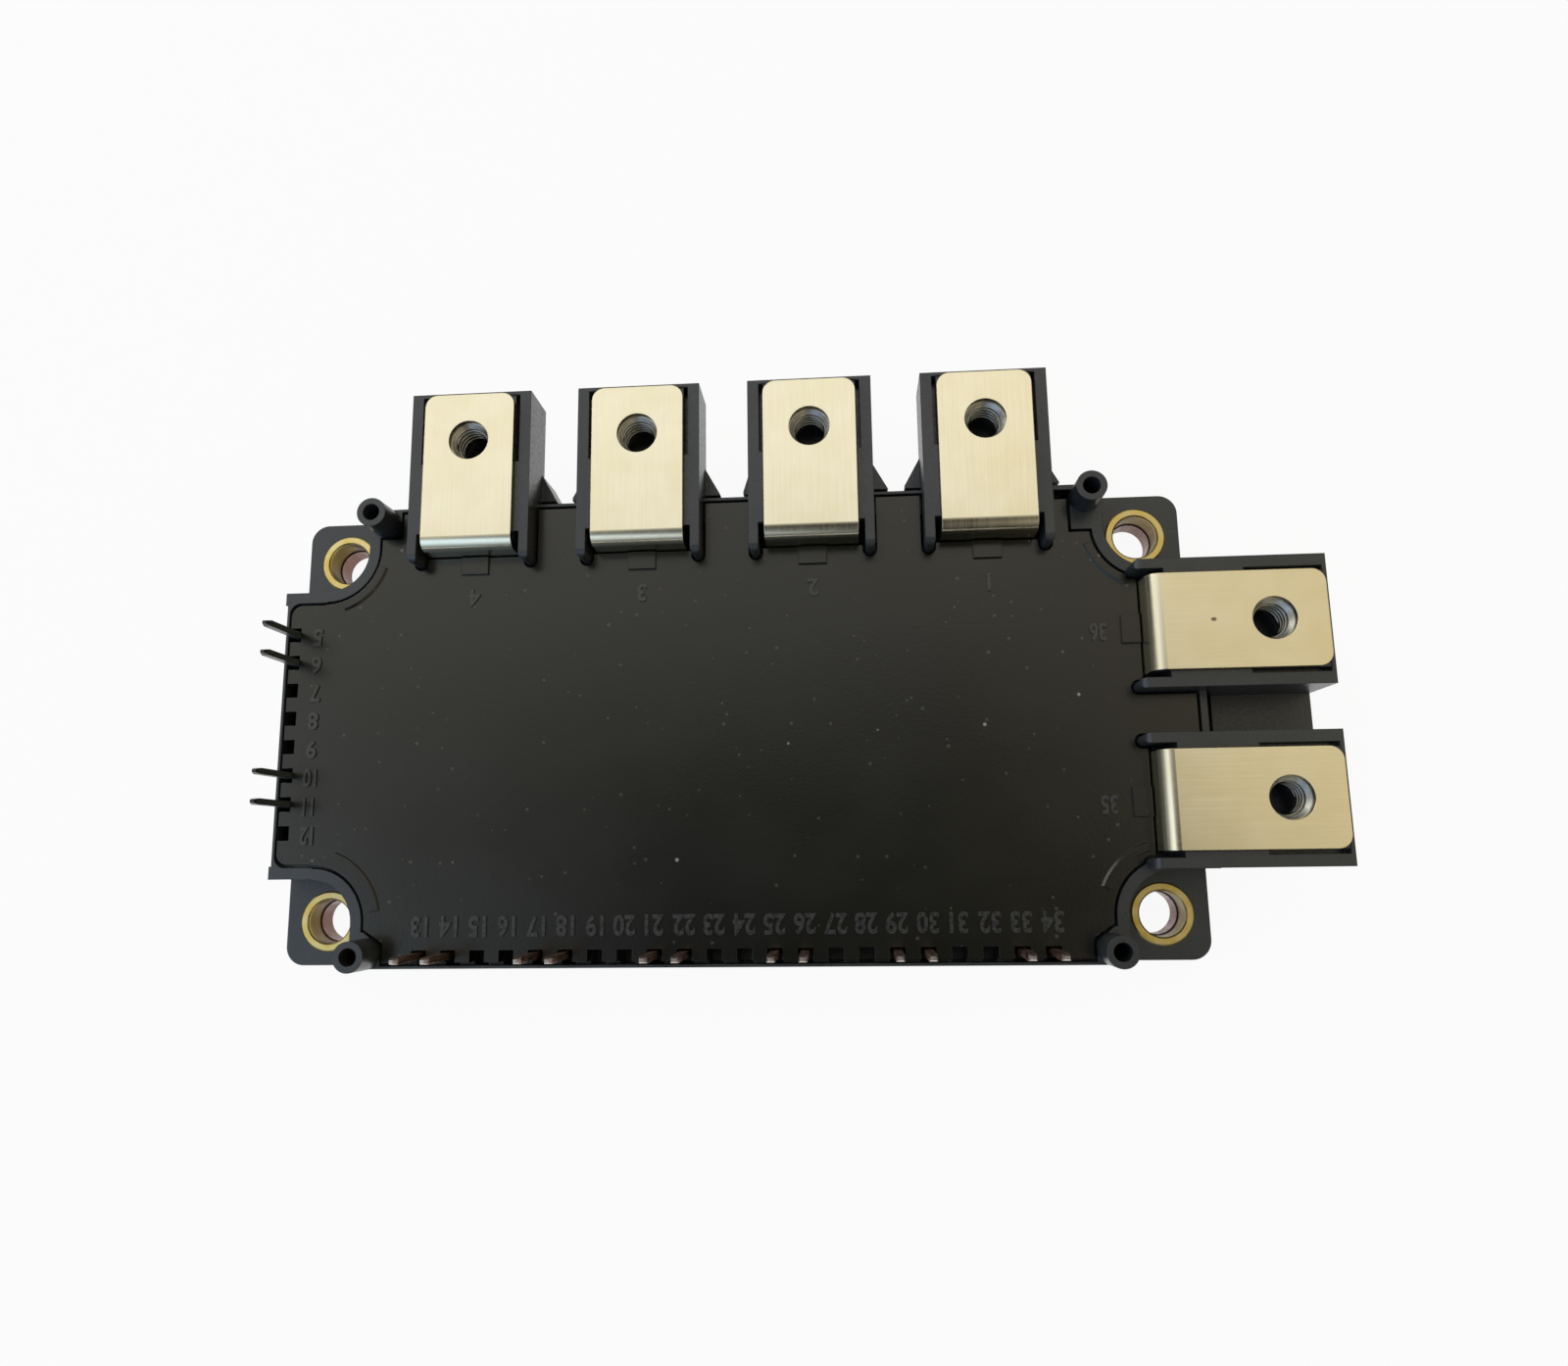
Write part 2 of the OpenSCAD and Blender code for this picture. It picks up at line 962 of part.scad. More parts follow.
// Soft gel round the chips and wires, up to gel_z
module gel() {
    color("LightYellow", 0.4)
        difference() {
            translate([0, 0, base_t])
                linear_extrude(gel_z - base_t)
                    cavity_plan();
            for (i = [0 : 3])
                at_row(i) block(wall_row, block_under);
            for (i = [0 : 1])
                at_side(i) block(wall_side, side_under);
            pin_ledges();
            for (c = corners)
                translate([c[0] * post_x, c[1] * post_y, base_t])
                    post();
            at_terminals() terminal();
            for (k = pins_low)
                pin_low(k);
            for (k = pins_left)
                pin_left(k);
            for (i = [-1 : 1]) {
                foil(i);
                ceramic(i);
                tracks(i);
            }
            igbt_chips();
            diode_chips();
            thermistor();
            bond_wires();
        }
}

base_plate();
housing();
lid();
bushing(corners[0]);  // bushing_1
bushing(corners[1]);  // bushing_2
bushing(corners[2]);  // bushing_3
bushing(corners[3]);  // bushing_4
at_row(0) terminal();  // terminal_1
at_row(1) terminal();  // terminal_2
at_row(2) terminal();  // terminal_3
at_row(3) terminal();  // terminal_4
at_side(0) terminal();  // terminal_p
at_side(1) terminal();  // terminal_n
at_row(0) nut();  // nut_1
at_row(1) nut();  // nut_2
at_row(2) nut();  // nut_3
at_row(3) nut();  // nut_4
at_side(0) nut();  // nut_p
at_side(1) nut();  // nut_n
pin_left(5);  // pin_05
pin_left(6);  // pin_06
pin_left(10);  // pin_10
pin_left(11);  // pin_11
pin_low(13);  // pin_13
pin_low(14);  // pin_14
pin_low(17);  // pin_17
pin_low(18);  // pin_18
pin_low(21);  // pin_21
pin_low(22);  // pin_22
pin_low(25);  // pin_25
pin_low(26);  // pin_26
pin_low(29);  // pin_29
pin_low(30);  // pin_30
pin_low(33);  // pin_33
pin_low(34);  // pin_34
foil(-1);  // foil_left
foil(0);  // foil_middle
foil(1);  // foil_right
ceramic(-1);  // ceramic_left
ceramic(0);  // ceramic_middle
ceramic(1);  // ceramic_right
tracks(-1);  // tracks_left
tracks(0);  // tracks_middle
tracks(1);  // tracks_right
igbt_chips();
diode_chips();
thermistor();
bond_wires();
gel();
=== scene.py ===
# %% [markdown]
# # A power semiconductor module
#
# The object is a flat brick of electronics that drives a motor. A copper base plate
# takes its heat to a heat sink, a black moulded case stands on it, and a lid closes the
# case. Six plated copper strips bend over blocks on two sides and take M5 screws. Thin
# solder pins on the other two sides go to a circuit board.
#
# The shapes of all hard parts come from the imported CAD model. This lesson gives each of
# them a material, adds the threads and raised numbers that the CAD model leaves out, and
# sets up the floor, the light and the camera.

# %% Load the frame
import math

import bmesh
import bpy
from mathutils import Euler, Matrix, Vector


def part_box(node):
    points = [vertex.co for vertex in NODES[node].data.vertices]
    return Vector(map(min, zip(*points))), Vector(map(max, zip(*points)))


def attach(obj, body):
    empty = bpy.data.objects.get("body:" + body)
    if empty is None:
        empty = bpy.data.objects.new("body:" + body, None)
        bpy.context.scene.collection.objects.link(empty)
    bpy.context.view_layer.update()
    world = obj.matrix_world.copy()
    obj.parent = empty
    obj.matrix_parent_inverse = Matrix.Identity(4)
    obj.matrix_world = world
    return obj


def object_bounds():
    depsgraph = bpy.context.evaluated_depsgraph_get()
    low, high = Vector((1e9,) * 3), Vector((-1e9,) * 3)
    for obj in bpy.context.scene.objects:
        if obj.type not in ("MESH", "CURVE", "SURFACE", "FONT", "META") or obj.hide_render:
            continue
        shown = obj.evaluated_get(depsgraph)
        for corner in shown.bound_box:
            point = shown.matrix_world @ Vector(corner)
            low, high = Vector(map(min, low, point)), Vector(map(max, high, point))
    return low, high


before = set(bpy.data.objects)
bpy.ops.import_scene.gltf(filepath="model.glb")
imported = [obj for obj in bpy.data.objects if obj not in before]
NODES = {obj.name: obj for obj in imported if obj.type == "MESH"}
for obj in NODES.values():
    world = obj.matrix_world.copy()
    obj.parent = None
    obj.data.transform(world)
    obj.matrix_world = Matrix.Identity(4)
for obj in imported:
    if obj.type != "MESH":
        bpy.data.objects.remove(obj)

cad_low, cad_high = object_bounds()
print("CAD box, mm:", [round(1000 * v, 2) for v in cad_high - cad_low])

MM = 0.001
root = "root"

# %% [markdown]
# ## Small tools
#
# Every node of a material is added by one function. It takes the node's type, the
# values or links of its inputs, and its settings, so each material below reads as a
# list of layers. Colours are written as sRGB hex, as in a paint catalogue, and turned
# to the linear values that the shaders work in.

# %% Tools for materials
def linear(hex_code):
    """Linear RGBA of an sRGB hex colour such as "#3a3a3a"."""
    values = [int(hex_code[i:i + 2], 16) / 255 for i in (1, 3, 5)]
    return [v / 12.92 if v <= 0.04045 else ((v + 0.055) / 1.055) ** 2.4
            for v in values] + [1.0]


def add_node(material, kind, inputs=None, **settings):
    """Adds one shader node, sets its settings, and sets or links its inputs."""
    node = material.node_tree.nodes.new(kind)
    for name, value in settings.items():
        setattr(node, name, value)
    for name, value in (inputs or {}).items():
        if isinstance(value, bpy.types.NodeSocket):
            material.node_tree.links.new(value, node.inputs[name])
        else:
            node.inputs[name].default_value = value
    return node


def new_material(name, **uniform):
    """A material with one Principled shader. Values that are the same all over go here."""
    material = bpy.data.materials.new(name)
    material.use_nodes = True
    shader = material.node_tree.nodes["Principled BSDF"]
    for socket, value in uniform.items():
        shader.inputs[socket.replace("_", " ")].default_value = value
    return material, shader


def link(material, socket, shader, name):
    """Links a pattern or colour to one of the shader's inputs."""
    material.node_tree.links.new(socket, shader.inputs[name])


def describe(material):
    """Prints what was made."""
    print(material.name, "has", len(material.node_tree.nodes), "shader nodes")


# %% [markdown]
# ## Patterns that several materials share
#
# A few patterns come back in most materials. Two colours mottled through noise keep a
# surface from being one flat colour, and the gloss changes with the same noise. Grain is
# a fine bump: spark-eroded moulds leave one of about a third of a millimetre on plastic.
# Rolled or pressed metal has the same noise drawn out along one direction. A pin and a
# bore change their finish with the height. All read Object coordinates, which are metres
# here, so a scale is one over a real size.
#
# Noise seldom leaves the middle third of its range, so that third is drawn out to the
# whole. A Mix node has sockets for numbers, vectors and colours, many with the same
# names, so its colour sockets are named here by their places.
#
# A real edge is never sharp. The Bevel node bends the normal near an edge, which puts a
# thin highlight there without any change to the shape.

# %% Shared patterns
NOISE_LOW, NOISE_HIGH = 0.35, 0.65
FACTOR, UNDER, OVER, MIXED = 0, 6, 7, 2


def stretched_coordinates(material, sizes_mm):
    """Object coordinates divided by a grain size in each direction."""
    place = add_node(material, "ShaderNodeTexCoord")
    scale = [1 / (s * MM) for s in sizes_mm]
    mapping = add_node(material, "ShaderNodeMapping",
                       {"Vector": place.outputs["Object"], "Scale": scale})
    return mapping.outputs["Vector"]


def noise(material, sizes_mm, detail=2.0, roughness=0.5):
    """Noise whose features have the given sizes."""
    where = stretched_coordinates(material, sizes_mm)
    made = add_node(material, "ShaderNodeTexNoise",
                    {"Vector": where, "Scale": 1.0, "Detail": detail, "Roughness": roughness})
    return made.outputs["Fac"]


def between_heights(material, from_z, to_z):
    """0 at one height and 1 at the other."""
    place = add_node(material, "ShaderNodeTexCoord")
    height = add_node(material, "ShaderNodeSeparateXYZ", {"Vector": place.outputs["Object"]})
    made = add_node(material, "ShaderNodeMapRange",
                    {"Value": height.outputs["Z"], "From Min": from_z, "From Max": to_z})
    return made.outputs["Result"]


def mottle(material, pattern, first, second):
    """Two hex colours that pass into each other with a pattern."""
    share = add_node(material, "ShaderNodeMapRange",
                     {"Value": pattern, "From Min": NOISE_LOW, "From Max": NOISE_HIGH})
    mixed = add_node(material, "ShaderNodeMix",
                     {FACTOR: share.outputs["Result"], UNDER: linear(first),
                      OVER: linear(second)}, data_type="RGBA")
    return mixed.outputs[MIXED]


def vary_roughness(material, shader, pattern, low, high):
    """Lets the roughness go from low to high with a pattern."""
    made = add_node(material, "ShaderNodeMapRange",
                    {"Value": pattern, "From Min": NOISE_LOW, "From Max": NOISE_HIGH,
                     "To Min": low, "To Max": high})
    link(material, made.outputs["Result"], shader, "Roughness")


def relief(material, shader, height, depth_mm, edge_mm):
    """Rounds the edges and adds a height pattern of the given depth."""
    edge = add_node(material, "ShaderNodeBevel", {"Radius": edge_mm * MM}, samples=4)
    bump = add_node(material, "ShaderNodeBump",
                    {"Height": height, "Strength": 1.0, "Distance": depth_mm * MM,
                     "Normal": edge.outputs["Normal"]})
    link(material, bump.outputs["Normal"], shader, "Normal")


# %% [markdown]
# ## Moulded plastic
#
# Case and lid are PBT filled with glass fibre, injection moulded. Its index of 1.64 is
# high for a plastic, so it shines strongly. It is black, but never deep black: the
# fibres and the eroded mould surface give a broad grey sheen. The case is a shade bluer
# and lighter than the lid, because it comes from another mould and another batch.
#
# The lid is the flat face that hands touch. A thin film on it turns its shine slightly
# olive. It carries a few light specks of dust, and large soft patches where its shine
# changes.

# %% Case plastic
PBT_IOR = 1.64

case_plastic, shader = new_material("case_glass_filled_pbt", Roughness=0.5, IOR=PBT_IOR)
patches = noise(case_plastic, (9, 9, 9))
grain = noise(case_plastic, (0.35, 0.35, 0.35), detail=3.0)
case_tone = mottle(case_plastic, patches, "#2a2e31", "#313537")
link(case_plastic, case_tone, shader, "Base Color")
vary_roughness(case_plastic, shader, grain, 0.27, 0.40)
relief(case_plastic, shader, grain, depth_mm=0.012, edge_mm=0.16)
describe(case_plastic)

# %% Lid plastic
LID_SHINE = "#fffef5"

lid_plastic, lid_shader = new_material("lid_glass_filled_pbt", Roughness=0.5, IOR=PBT_IOR,
                                       Specular_Tint=linear(LID_SHINE))
patches = noise(lid_plastic, (22, 16, 16), detail=3.0)
grain = noise(lid_plastic, (0.3, 0.3, 0.3), detail=3.0)
lid_tone = mottle(lid_plastic, patches, "#070804", "#0b0c06")
vary_roughness(lid_plastic, lid_shader, patches, 0.21, 0.27)
relief(lid_plastic, lid_shader, grain, depth_mm=0.010, edge_mm=0.16)

# %% [markdown]
# Dust settles on the lid as small pale specks and a few brighter grains. A Voronoi
# pattern cuts the surface into cells. Each cell draws lots for whether it holds a speck,
# how large the speck is and how faint.

# %% Dust on the lid
SMALLEST_SPECK = 0.4
FAINTEST_SPECK = 0.3
SPECK_CORE, SPECK_RIM = 0.6, 1.1


def dust(material, under, cell_mm, radius, share, strength, colour):
    """Adds specks to a share of the cells. The radius is counted in cells."""
    where = stretched_coordinates(material, (cell_mm, cell_mm, cell_mm))
    cells = add_node(material, "ShaderNodeTexVoronoi", {"Vector": where, "Scale": 1.0})
    lot = add_node(material, "ShaderNodeSeparateColor", {"Color": cells.outputs["Color"]})
    own_radius = add_node(material, "ShaderNodeMapRange",
                          {"Value": lot.outputs["Green"],
                           "To Min": SMALLEST_SPECK * radius, "To Max": radius})
    reach = add_node(material, "ShaderNodeMath",
                     {0: cells.outputs["Distance"], 1: own_radius.outputs["Result"]},
                     operation="DIVIDE")
    disc = add_node(material, "ShaderNodeMapRange",
                    {"Value": reach.outputs[0], "From Min": SPECK_CORE,
                     "From Max": SPECK_RIM, "To Min": 1.0, "To Max": 0.0})
    drawn = add_node(material, "ShaderNodeMath", {0: lot.outputs["Red"], 1: 1 - share},
                     operation="GREATER_THAN")
    faint = add_node(material, "ShaderNodeMapRange",
                     {"Value": lot.outputs["Blue"],
                      "To Min": FAINTEST_SPECK * strength, "To Max": strength})
    speck = add_node(material, "ShaderNodeMath",
                     {0: disc.outputs["Result"], 1: drawn.outputs[0]}, operation="MULTIPLY")
    weight = add_node(material, "ShaderNodeMath",
                      {0: speck.outputs[0], 1: faint.outputs["Result"]},
                      operation="MULTIPLY")
    dusty = add_node(material, "ShaderNodeMix",
                     {FACTOR: weight.outputs[0], UNDER: under, OVER: linear(colour)},
                     data_type="RGBA")
    return dusty.outputs[MIXED]


dusty_lid = dust(lid_plastic, lid_tone, cell_mm=1.7, radius=0.16, share=0.55,
                 strength=0.48, colour="#7e7b72")
dusty_lid = dust(lid_plastic, dusty_lid, cell_mm=4.2, radius=0.070, share=0.75,
                 strength=0.80, colour="#aaa69b")
link(lid_plastic, dusty_lid, lid_shader, "Base Color")
describe(lid_plastic)

# %% Plastic of the raised numbers
# The mould was polished where the numbers are cut, so they shine a little more.
# Their base colour is a painted sheen, much lighter than the lid's plastic.
number_plastic, shader = new_material("polished_number_pbt_painted_sheen", Roughness=0.3, IOR=PBT_IOR,
                                      Specular_Tint=linear(LID_SHINE))
number_grain = noise(number_plastic, (0.5, 0.5, 0.5))
# Painted sheen: a light grey for the light that the raised strokes catch.
link(number_plastic, mottle(number_plastic, number_grain, "#2c2d2d", "#373838"),
     shader, "Base Color")
vary_roughness(number_plastic, shader, number_grain, 0.24, 0.34)
relief(number_plastic, shader, number_grain, depth_mm=0.008, edge_mm=0.08)
describe(number_plastic)

# %% [markdown]
# ## Plated strips
#
# The screw terminals are stamped from copper strip, bent and plated with matt nickel.
# Nickel is warmer than chrome, close to cream. Rolling leaves hair lines along the
# strip, some tenths of a millimetre apart and many millimetres long, which stretch the
# reflection across them. The upper row runs along Y and the side pair along X, so the
# same recipe is used twice with the grain turned. One strip of the pair has a small
# brown pit, where the plating is worn through to the copper.

# %% Pit in the plating
PIT_FROM_BEND = 10.65 * MM
PIT_CORE, PIT_RIM = 0.14 * MM, 0.32 * MM
PIT_STRETCH = (0.7, 1.0, 1.0)
PIT_STRENGTH = 0.85


def pitted(material, tone, pit):
    """Lays a small brown pit, longer along x than across, over a tone."""
    place = add_node(material, "ShaderNodeTexCoord")
    away = add_node(material, "ShaderNodeVectorMath",
                    {0: place.outputs["Object"], 1: pit}, operation="SUBTRACT")
    away = add_node(material, "ShaderNodeVectorMath",
                    {0: away.outputs["Vector"], 1: PIT_STRETCH}, operation="MULTIPLY")
    away = add_node(material, "ShaderNodeVectorMath",
                    {0: away.outputs["Vector"]}, operation="LENGTH")
    spot = add_node(material, "ShaderNodeMapRange",
                    {"Value": away.outputs["Value"], "From Min": PIT_CORE,
                     "From Max": PIT_RIM, "To Min": PIT_STRENGTH, "To Max": 0.0})
    mixed = add_node(material, "ShaderNodeMix",
                     {FACTOR: spot.outputs["Result"], UNDER: tone, OVER: linear("#5a3322")},
                     data_type="RGBA")
    return mixed.outputs[MIXED]


# %% Nickel-plated copper
HAIR_MM = 0.25
HAIR_LENGTH_MM = 9
HAIR_LINES = {"x": (HAIR_LENGTH_MM, HAIR_MM, HAIR_LENGTH_MM),
              "y": (HAIR_MM, HAIR_LENGTH_MM, HAIR_LENGTH_MM)}


def nickel(name, along, pit=None):
    """Matt nickel over rolled copper, its hair lines along x or y, with a pit if asked."""
    material, shader = new_material(name, Metallic=1.0, Roughness=0.3)
    lines = noise(material, HAIR_LINES[along], detail=3.0)
    clouds = noise(material, (5, 5, 5))
    tone = mottle(material, clouds, "#f5eccb", "#f9f1d4")
    if pit:
        tone = pitted(material, tone, pit)
    link(material, tone, shader, "Base Color")
    vary_roughness(material, shader, lines, 0.17, 0.23)
    relief(material, shader, lines, depth_mm=0.0007, edge_mm=0.12)
    describe(material)
    return material


p_low, p_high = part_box("terminal_p")
pit_place = (p_low.x + PIT_FROM_BEND, (p_low.y + p_high.y) / 2, p_high.z)
nickel_row = nickel("matt_nickel_plate_row", "y")
nickel_side = nickel("matt_nickel_plate_side", "x")
nickel_pitted = nickel("matt_nickel_plate_pitted", "x", pit_place)
print("contact faces at, mm:", round(p_high.z / MM, 2))

# %% [markdown]
# ## Yellow bushings, steel nuts and bare copper
#
# A steel bushing in each ear takes the screw's force, so that the plastic can't creep.
# Its yellow chromate turns from straw to gold with the thickness of the film. The ring
# on top keeps this bright tone. The bore is painted shade: an olive tone that gets
# browner with its depth. The nuts are zinc-plated steel, greyer and duller. The base
# plate is bare copper, gone a dull pinkish brown, with clouds of darker oxide and the
# scratches of its flattening.

# %% Yellow chromate of the bushings
RING_EDGE, BORE_SHADE_EDGE = 0.12 * MM, 0.45 * MM
BORE_SHADE_TOP, BORE_SHADE_FOOT = 0.15 * MM, 5.0 * MM

chromate, shader = new_material("yellow_chromated_steel", Metallic=1.0, Roughness=0.3)
bushing_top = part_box("bushing_1")[1].z
film = noise(chromate, (2.2, 2.2, 2.2), detail=3.0)
ring_tone = mottle(chromate, film, "#dfc36c", "#eddb9a")
# Painted shade: below the ring the bore darkens from olive to brown with its depth.
depth = between_heights(chromate, bushing_top - BORE_SHADE_TOP, bushing_top - BORE_SHADE_FOOT)
painted_bore_shade = add_node(chromate, "ShaderNodeMix",
                     {FACTOR: depth, UNDER: linear("#7a6320"), OVER: linear("#4e3a1e")},
                     data_type="RGBA")
into_painted_bore_shade = between_heights(chromate, bushing_top - RING_EDGE, bushing_top - BORE_SHADE_EDGE)
chromate_with_bore_shade = add_node(chromate, "ShaderNodeMix",
                         {FACTOR: into_painted_bore_shade, UNDER: ring_tone,
                          OVER: painted_bore_shade.outputs[MIXED]}, data_type="RGBA")
link(chromate, chromate_with_bore_shade.outputs[MIXED], shader, "Base Color")
vary_roughness(chromate, shader, film, 0.30, 0.42)
relief(chromate, shader, noise(chromate, (0.5, 0.5, 0.12)), depth_mm=0.006, edge_mm=0.02)
describe(chromate)

# %% Zinc of the nuts
zinc, shader = new_material("zinc_plated_steel", Metallic=1.0, Roughness=0.35)
crystals = noise(zinc, (0.9, 0.9, 0.9), detail=4.0)
link(zinc, mottle(zinc, crystals, "#a9a69c", "#c9c7bf"), shader, "Base Color")
vary_roughness(zinc, shader, crystals, 0.28, 0.45)
relief(zinc, shader, crystals, depth_mm=0.008, edge_mm=0.08)
describe(zinc)

# %% Bare copper of the base plate
bare_copper, shader = new_material("bare_rolled_copper", Metallic=1.0, Roughness=0.36)
oxide = noise(bare_copper, (11, 11, 11), detail=4.0)
scratches = noise(bare_copper, (0.4, 14, 3), detail=3.0)
link(bare_copper, mottle(bare_copper, oxide, "#7d5d54", "#634a43"), shader, "Base Color")
vary_roughness(bare_copper, shader, scratches, 0.28, 0.44)
relief(bare_copper, shader, scratches, depth_mm=0.006, edge_mm=0.02)
describe(bare_copper)

# %% [markdown]
# ## Solder pins
#
# The pins are punched from tinned copper strip. Punching drags copper over the sides,
# so they look pinkish brown. A gradient along Z gives the last millimetre a painted
# tone of its own: a painted highlight, pale where the upturned ends catch the light.
# The four pins of the left row are a painted shade of the same pins: a dull grey with
# darker ends, and a lower metallic value.

# %% Tinned copper
PAINTED_TIP_START, PAINTED_TIP_FULL = 1.2 * MM, 0.2 * MM
pin_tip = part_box("pin_13")[1].z


def tinned_copper(name, dark, light, painted_tip_colour, metallic=1.0):
    """Punched strip in two tones, and a painted tone for the light and shade on its last
    millimetre.
    """
    material, shader = new_material(name, Metallic=metallic, Roughness=0.34)
    painted_tip_share = between_heights(material, pin_tip - PAINTED_TIP_START, pin_tip - PAINTED_TIP_FULL)
    streaks = noise(material, (0.3, 0.3, 2.5), detail=3.0)
    tone = add_node(material, "ShaderNodeMix",
                    {FACTOR: painted_tip_share, UNDER: mottle(material, streaks, dark, light),
                     OVER: linear(painted_tip_colour)}, data_type="RGBA")
    link(material, tone.outputs[MIXED], shader, "Base Color")
    vary_roughness(material, shader, streaks, 0.26, 0.42)
    relief(material, shader, streaks, depth_mm=0.006, edge_mm=0.06)
    describe(material)
    return material


# Painted highlight: the pale tone near the top of each pin stands for the light its upturned
# end catches.
tinned = tinned_copper("tinned_punched_copper", "#8f6a58", "#b48f7e", "#c9beb6")
# Painted shade: the left row is a darker, duller copy of the same pins, with darker ends and
# less metal.
shaded_left_pins = tinned_copper("tinned_copper_painted_shade", "#4b5051", "#5c6061", "#343738",
                          metallic=0.4)

# %% [markdown]
# ## Parts under the lid
#
# Nothing shows of them while the lid is on, but the model is also taken apart. Alumina
# is a matt white ceramic with fine specks. Its copper tracks are nickel free and
# slightly etched. The chips are silicon with a metal film, grey and mirror-like. The
# thermistor is a bead in black resin. Bond wires are soft aluminium, drawn through a
# die. The gel is clear silicone, as soft as jelly, and has no grain of its own.

# %% Ceramic of the substrates
alumina, shader = new_material("sintered_alumina", Roughness=0.6, IOR=1.76)
specks = noise(alumina, (0.4, 0.4, 0.4), detail=4.0)
link(alumina, mottle(alumina, specks, "#e6e3dc", "#f4f2ee"), shader, "Base Color")
relief(alumina, shader, specks, depth_mm=0.008, edge_mm=0.05)
describe(alumina)

# %% Copper tracks
track_copper, shader = new_material("etched_copper_track", Metallic=1.0, Roughness=0.4)
etch = noise(track_copper, (0.6, 0.6, 0.6), detail=4.0)
link(track_copper, mottle(track_copper, etch, "#d09a80", "#b97c62"), shader, "Base Color")
vary_roughness(track_copper, shader, etch, 0.32, 0.5)
relief(track_copper, shader, etch, depth_mm=0.006, edge_mm=0.05)
describe(track_copper)

# %% Chips
silicon, shader = new_material("metallised_silicon", Metallic=1.0, Roughness=0.18)
cell_lines = noise(silicon, (0.08, 3, 3))
link(silicon, mottle(silicon, cell_lines, "#7d8086", "#989ba1"), shader, "Base Color")
relief(silicon, shader, cell_lines, depth_mm=0.002, edge_mm=0.03)
describe(silicon)

# %% Thermistor
sensor_black, shader = new_material("moulded_sensor_black", Roughness=0.45, IOR=1.5)
sensor_grain = noise(sensor_black, (0.2, 0.2, 0.2))
link(sensor_black, mottle(sensor_black, sensor_grain, "#161616", "#222222"),
     shader, "Base Color")
relief(sensor_black, shader, sensor_grain, depth_mm=0.006, edge_mm=0.05)
describe(sensor_black)

# %% Bond wires
soft_aluminium, shader = new_material("drawn_aluminium_wire", Metallic=1.0, Roughness=0.3)
draw_lines = noise(soft_aluminium, (0.08, 1.6, 0.08))
link(soft_aluminium, mottle(soft_aluminium, draw_lines, "#c9c9c6", "#dededc"),
     shader, "Base Color")
relief(soft_aluminium, shader, draw_lines, depth_mm=0.003, edge_mm=0.04)
describe(soft_aluminium)

# %% Gel
silicone, shader = new_material("clear_silicone_gel", Roughness=0.12, IOR=1.41,
                                Transmission_Weight=0.9)
haze = noise(silicone, (6, 6, 6))
link(silicone, mottle(silicone, haze, "#e9e7dc", "#f6f5ef"), shader, "Base Color")
vary_roughness(silicone, shader, haze, 0.08, 0.16)
describe(silicone)

# %% [markdown]
# ## Give each part its material
#
# The start of a part's name says what it is. The CAD objects keep their shape and
# place; only the material in their slots changes.

# %% Assign the materials
FINISHES = {
    "base_plate": bare_copper, "housing": case_plastic, "lid": lid_plastic,
    # The four pins of the left row take the painted shade.
    "bushing": chromate, "nut": zinc, "pin_05": shaded_left_pins, "pin_06": shaded_left_pins,
    "pin_10": shaded_left_pins, "pin_11": shaded_left_pins, "pin": tinned,
    "terminal_1": nickel_row, "terminal_2": nickel_row, "terminal_3": nickel_row,
    "terminal_4": nickel_row, "terminal_p": nickel_pitted, "terminal_n": nickel_side,
    "foil": track_copper, "tracks": track_copper, "ceramic": alumina,
    "igbt_chips": silicon, "diode_chips": silicon, "thermistor": sensor_black,
    "bond_wires": soft_aluminium, "gel": silicone,
}
for name, part in NODES.items():
    finish = next(made for start, made in FINISHES.items() if name.startswith(start))
    for slot in part.material_slots:
        slot.material = finish
print("parts with a finish:", len(NODES))


# %% [markdown]
# ## Keep a new piece
#
# A finished piece has its object at the origin and its place in its mesh, as the CAD
# parts do. It rides on the one body of this object and takes the finish it is given.

# %% Tool for pieces
SAME_POINT = 0.0005 * MM


def keep_piece(name, mesh, finish, smooth=False):
    """Makes an object of a bmesh, and fixes it to the module."""
    bmesh.ops.remove_doubles(mesh, verts=mesh.verts, dist=SAME_POINT)
    bmesh.ops.recalc_face_normals(mesh, faces=mesh.faces)
    data = bpy.data.meshes.new(name)
    mesh.to_mesh(data)
    mesh.free()
    data.materials.append(finish)
    data.polygons.foreach_set("use_smooth", [smooth] * len(data.polygons))
    piece = bpy.data.objects.new(name, data)
    bpy.context.scene.collection.objects.link(piece)
    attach(piece, root)
    print(name, len(data.polygons), "faces")


# %% [markdown]
# ## Screw threads
#
# A nut's thread is one ridge that climbs round the bore. For M5 it rises 0.8 mm a turn.
# The ridge's section is a small triangle standing on the wall of the bore. Spin carries
# it round the axis and lifts it a little at each step, which makes the helix, and the
# two open ends are filled.

# %% Threads of the six nuts
THREAD_PITCH = 0.8 * MM
RIDGE_HEIGHT = 0.22 * MM
RIDGE_HALF_WIDTH = 0.30 * MM
BORE_RADIUS = 2.16 * MM
FIRST_TURN_UP = 0.35 * MM
ROOM_AT_ENDS = 1.2 * MM
STEPS_A_TURN = 28


